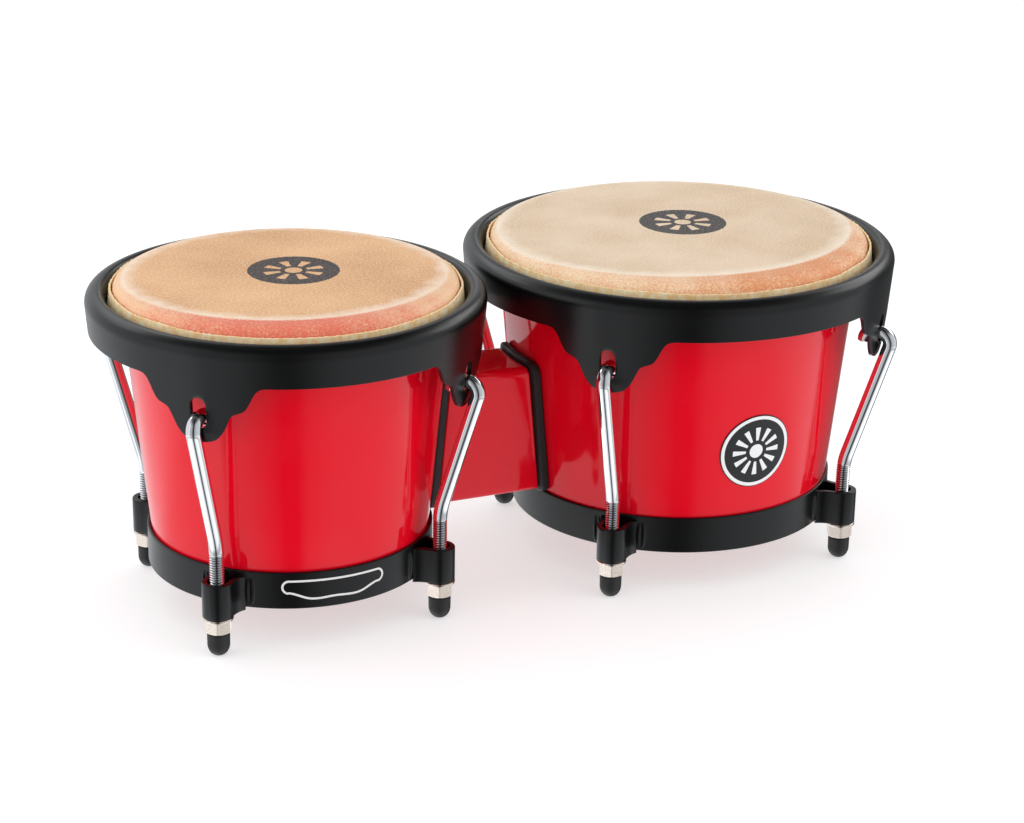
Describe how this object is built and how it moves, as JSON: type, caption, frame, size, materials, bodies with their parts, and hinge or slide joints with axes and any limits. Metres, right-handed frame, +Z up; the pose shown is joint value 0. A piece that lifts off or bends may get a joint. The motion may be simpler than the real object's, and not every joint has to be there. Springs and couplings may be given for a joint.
{
  "type": "bongo drums",
  "caption": "Pair of tapered hand drums joined by a centre block, with skin heads held by rims, hooked tension rods and nuts.",
  "frame": {"origin": "on the floor under the middle of the pair's outline", "axes": "+X from the small drum to the large drum, +Z up, -Y the side with the badge"},
  "size_m": [0.4152, 0.2184, 0.165],
  "materials": {
    "red_moulded_plastic": "high gloss moulded ABS",
    "black_coated_steel": "satin black powder coat",
    "chromed_steel": "bright chrome plate",
    "nickel_plated_steel": "bright nickel plate",
    "natural_skin": "dried natural hide, satin",
    "zinc_plated_steel": "zinc plate",
    "black_rubber": "matte moulded rubber",
    "badge_foil": "printed vinyl"
  },
  "bodies": {
    "root": {"small_shell": "red_moulded_plastic", "small_bottom_ring": "black_coated_steel", "small_head_skin": "natural_skin", "small_gasket": "black_rubber", "small_backing_plate": "zinc_plated_steel", "small_bridge_bolt_lower": "zinc_plated_steel", "small_bridge_bolt_upper": "zinc_plated_steel", "small_washer_back_right": "nickel_plated_steel", "small_washer_back_left": "nickel_plated_steel", "small_washer_front_left": "nickel_plated_steel", "small_washer_front_right": "nickel_plated_steel", "large_shell": "red_moulded_plastic", "large_bottom_ring": "black_coated_steel", "large_head_skin": "natural_skin", "large_gasket": "black_rubber", "large_backing_plate": "zinc_plated_steel", "large_bridge_bolt_lower": "zinc_plated_steel", "large_bridge_bolt_upper": "zinc_plated_steel", "large_washer_back_right": "nickel_plated_steel", "large_washer_back_left": "nickel_plated_steel", "large_washer_front_left": "nickel_plated_steel", "large_washer_front_right": "nickel_plated_steel", "centre_block": "red_moulded_plastic", "badge": "badge_foil"},
    "small_tension_set": {"small_rim": "black_coated_steel", "small_flesh_hoop": "zinc_plated_steel", "small_hook_back_right": "chromed_steel", "small_hook_back_left": "chromed_steel", "small_hook_front_left": "chromed_steel", "small_hook_front_right": "chromed_steel", "small_foot_back_right": "black_rubber", "small_foot_back_left": "black_rubber", "small_foot_front_left": "black_rubber", "small_foot_front_right": "black_rubber"},
    "small_nut_back_right": {"small_nut_back_right": "nickel_plated_steel"},
    "small_nut_back_left": {"small_nut_back_left": "nickel_plated_steel"},
    "small_nut_front_left": {"small_nut_front_left": "nickel_plated_steel"},
    "small_nut_front_right": {"small_nut_front_right": "nickel_plated_steel"},
    "large_tension_set": {"large_rim": "black_coated_steel", "large_flesh_hoop": "zinc_plated_steel", "large_hook_back_right": "chromed_steel", "large_hook_back_left": "chromed_steel", "large_hook_front_left": "chromed_steel", "large_hook_front_right": "chromed_steel", "large_foot_back_right": "black_rubber", "large_foot_back_left": "black_rubber", "large_foot_front_left": "black_rubber", "large_foot_front_right": "black_rubber"},
    "large_nut_back_right": {"large_nut_back_right": "nickel_plated_steel"},
    "large_nut_back_left": {"large_nut_back_left": "nickel_plated_steel"},
    "large_nut_front_left": {"large_nut_front_left": "nickel_plated_steel"},
    "large_nut_front_right": {"large_nut_front_right": "nickel_plated_steel"}
  },
  "joints": [
    {"name": "small_tuning", "type": "slide", "parent": "root", "child": "small_tension_set", "axis": [0, 0, -1], "range_m": [0, 0.006], "deforming": ["small_head_skin"]},
    {"name": "small_nut_back_right_turn", "type": "hinge", "parent": "root", "child": "small_nut_back_right", "pos_m": [-0.05529, 0.05636, 0.01525], "axis": [0, 0, 1], "range_deg": [0, 2160]},
    {"name": "small_nut_back_left_turn", "type": "hinge", "parent": "root", "child": "small_nut_back_left", "pos_m": [-0.16801, 0.05636, 0.01525], "axis": [0, 0, 1], "range_deg": [0, 2160]},
    {"name": "small_nut_front_left_turn", "type": "hinge", "parent": "root", "child": "small_nut_front_left", "pos_m": [-0.16801, -0.05636, 0.01525], "axis": [0, 0, 1], "range_deg": [0, 2160]},
    {"name": "small_nut_front_right_turn", "type": "hinge", "parent": "root", "child": "small_nut_front_right", "pos_m": [-0.05529, -0.05636, 0.01525], "axis": [0, 0, 1], "range_deg": [0, 2160]},
    {"name": "large_tuning", "type": "slide", "parent": "root", "child": "large_tension_set", "axis": [0, 0, -1], "range_m": [0, 0.006], "deforming": ["large_head_skin"]},
    {"name": "large_nut_back_right_turn", "type": "hinge", "parent": "root", "child": "large_nut_back_right", "pos_m": [0.16369, 0.06534, 0.01525], "axis": [0, 0, 1], "range_deg": [0, 2160]},
    {"name": "large_nut_back_left_turn", "type": "hinge", "parent": "root", "child": "large_nut_back_left", "pos_m": [0.03301, 0.06534, 0.01525], "axis": [0, 0, 1], "range_deg": [0, 2160]},
    {"name": "large_nut_front_left_turn", "type": "hinge", "parent": "root", "child": "large_nut_front_left", "pos_m": [0.03301, -0.06534, 0.01525], "axis": [0, 0, 1], "range_deg": [0, 2160]},
    {"name": "large_nut_front_right_turn", "type": "hinge", "parent": "root", "child": "large_nut_front_right", "pos_m": [0.16369, -0.06534, 0.01525], "axis": [0, 0, 1], "range_deg": [0, 2160]}
  ],
  "couplings": [
    {"joint": "small_nut_back_right_turn", "follows": "small_tuning", "rad_per_m": 5026.5},
    {"joint": "small_nut_back_left_turn", "follows": "small_tuning", "rad_per_m": 5026.5},
    {"joint": "small_nut_front_left_turn", "follows": "small_tuning", "rad_per_m": 5026.5},
    {"joint": "small_nut_front_right_turn", "follows": "small_tuning", "rad_per_m": 5026.5},
    {"joint": "large_nut_back_right_turn", "follows": "large_tuning", "rad_per_m": 5026.5},
    {"joint": "large_nut_back_left_turn", "follows": "large_tuning", "rad_per_m": 5026.5},
    {"joint": "large_nut_front_left_turn", "follows": "large_tuning", "rad_per_m": 5026.5},
    {"joint": "large_nut_front_right_turn", "follows": "large_tuning", "rad_per_m": 5026.5}
  ]
}
